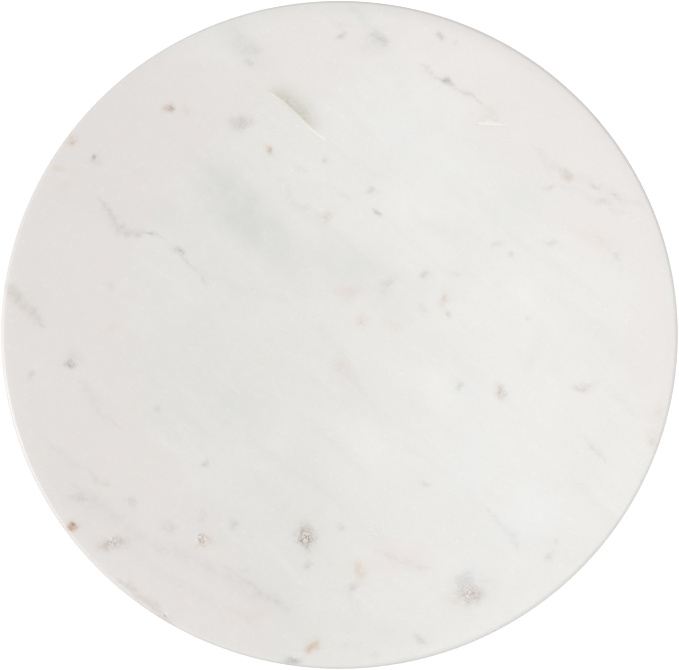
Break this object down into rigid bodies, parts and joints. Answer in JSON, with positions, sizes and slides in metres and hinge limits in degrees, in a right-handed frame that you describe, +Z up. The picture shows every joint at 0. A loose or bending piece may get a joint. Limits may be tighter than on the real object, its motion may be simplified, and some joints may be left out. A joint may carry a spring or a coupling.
{
  "type": "lazy susan turntable",
  "caption": "Round polished off-white marble slab with eased edges, turning freely on a low two-ring ball bearing that stands on rubber feet.",
  "frame": {"origin": "centre of the turning axis, on the plane that the feet stand on", "axes": "+Z up along the turning axis; the round top has no front, and +X runs through one of the screws that hold the turning ring"},
  "size_m": [0.305, 0.305, 0.035],
  "materials": {
    "marble": "polished",
    "brass": "satin",
    "foam": "matte",
    "ring_aluminium": "satin",
    "zinc_steel": "satin",
    "bearing_steel": "polished",
    "black_steel": "satin",
    "nylon": "matte",
    "foot_rubber": "matte"
  },
  "bodies": {
    "base": {"fixed_ring": "ring_aluminium", "loading_plug": "black_steel", "foot_washers": "zinc_steel", "foot_screws": "zinc_steel", "foot_1": "foot_rubber", "foot_2": "foot_rubber", "foot_3": "foot_rubber", "foot_4": "foot_rubber", "foot_5": "foot_rubber", "foot_6": "foot_rubber"},
    "ball_carrier": {"ball_cage": "nylon", "ball_01": "bearing_steel", "ball_02": "bearing_steel", "ball_03": "bearing_steel", "ball_04": "bearing_steel", "ball_05": "bearing_steel", "ball_06": "bearing_steel", "ball_07": "bearing_steel", "ball_08": "bearing_steel", "ball_09": "bearing_steel", "ball_10": "bearing_steel", "ball_11": "bearing_steel", "ball_12": "bearing_steel", "ball_13": "bearing_steel", "ball_14": "bearing_steel", "ball_15": "bearing_steel", "ball_16": "bearing_steel", "ball_17": "bearing_steel", "ball_18": "bearing_steel", "ball_19": "bearing_steel", "ball_20": "bearing_steel", "ball_21": "bearing_steel", "ball_22": "bearing_steel", "ball_23": "bearing_steel", "ball_24": "bearing_steel"},
    "turntable_top": {"marble_top": "marble", "threaded_inserts": "brass", "foam_gasket": "foam", "turning_ring": "ring_aluminium", "ring_screws": "zinc_steel"}
  },
  "joints": [
    {"name": "top_spin", "type": "hinge", "parent": "base", "child": "turntable_top", "pos_m": [0, 0, 0.0105], "axis": [0, 0, 1], "continuous": true},
    {"name": "cage_spin", "type": "hinge", "parent": "base", "child": "ball_carrier", "pos_m": [0, 0, 0.0105], "axis": [0, 0, 1], "continuous": true}
  ],
  "couplings": [
    {"joint": "cage_spin", "follows": "top_spin", "ratio": 0.4915}
  ]
}
